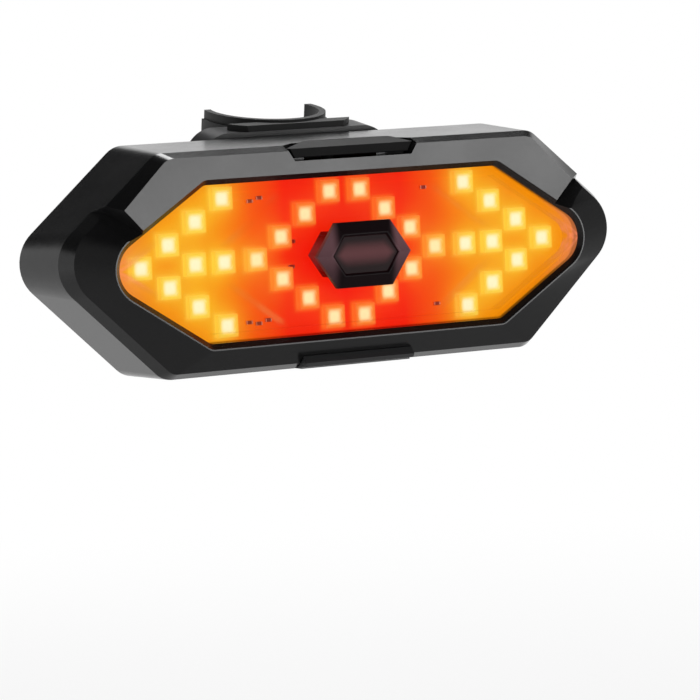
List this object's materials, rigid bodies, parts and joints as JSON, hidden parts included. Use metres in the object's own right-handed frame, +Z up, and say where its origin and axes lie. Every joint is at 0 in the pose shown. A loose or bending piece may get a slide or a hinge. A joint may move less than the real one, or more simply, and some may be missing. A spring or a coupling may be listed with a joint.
{
  "type": "bicycle turn signal light",
  "caption": "Wide six-sided tail lamp with a clear lens over arrow and ring lamps, a top button, a charging port cover and a slide-off strap bracket for a round post.",
  "frame": {"origin": "on the axis of the clamp bore, level with the middle of the lens", "axes": "+X to the right as seen from behind the bicycle, along the lamp's length; +Z up; the lens faces -Y"},
  "size_m": [0.1454, 0.0674, 0.0575],
  "materials": {
    "housing_plastic": "satin",
    "cover_plastic": "matte",
    "seal_rubber": "matte",
    "lens_plastic": "clear",
    "cap_plastic": "gloss",
    "board_white": "satin",
    "board_green": "satin",
    "led_amber": "gloss",
    "led_red": "gloss",
    "screw_steel": "satin",
    "brass": "satin",
    "chip_black": "matte",
    "module": "satin",
    "copper": "gloss",
    "cell_foil": "satin",
    "foam": "matte",
    "plug_white": "matte",
    "lead_sleeve": "matte",
    "port_steel": "satin",
    "button_rubber": "matte",
    "switch_plastic": "matte",
    "bracket_plastic": "matte",
    "strap_rubber": "matte"
  },
  "bodies": {
    "mount": {"bracket": "bracket_plastic", "clamp_pad": "strap_rubber", "clamp_strap": "strap_rubber"},
    "light": {"housing": "housing_plastic", "rear_cover": "cover_plastic", "rear_gasket": "seal_rubber", "lens": "lens_plastic", "lens_gasket": "seal_rubber", "centre_cap": "cap_plastic", "led_board": "board_white", "amber_leds_left": "led_amber", "amber_leds_right": "led_amber", "red_leds": "led_red", "board_screws": "screw_steel", "control_board": "board_green", "board_spacers": "brass", "control_screws": "screw_steel", "board_header": "chip_black", "control_chip": "chip_black", "receiver_module": "module", "antenna": "copper", "battery": "cell_foil", "battery_pad": "foam", "battery_plug": "plug_white", "battery_lead": "lead_sleeve", "charging_port": "port_steel", "mode_switch": "switch_plastic", "cover_screws": "screw_steel"},
    "button": {"mode_button": "button_rubber", "switch_plunger": "switch_plastic"},
    "cover": {"port_cover": "button_rubber"}
  },
  "joints": [
    {"name": "light_slide", "type": "slide", "parent": "mount", "child": "light", "axis": [0, 0, 1], "range_m": [0, 0.028]},
    {"name": "button_press", "type": "slide", "parent": "light", "child": "button", "axis": [0, 0, -1], "range_m": [0, 0.0006], "stiffness_N_per_m": 1500, "springref_m": -0.0002},
    {"name": "cover_hinge", "type": "hinge", "parent": "light", "child": "cover", "pos_m": [0, -0.0303, -0.02385], "axis": [1, 0, 0], "range_deg": [0, 95]}
  ]
}
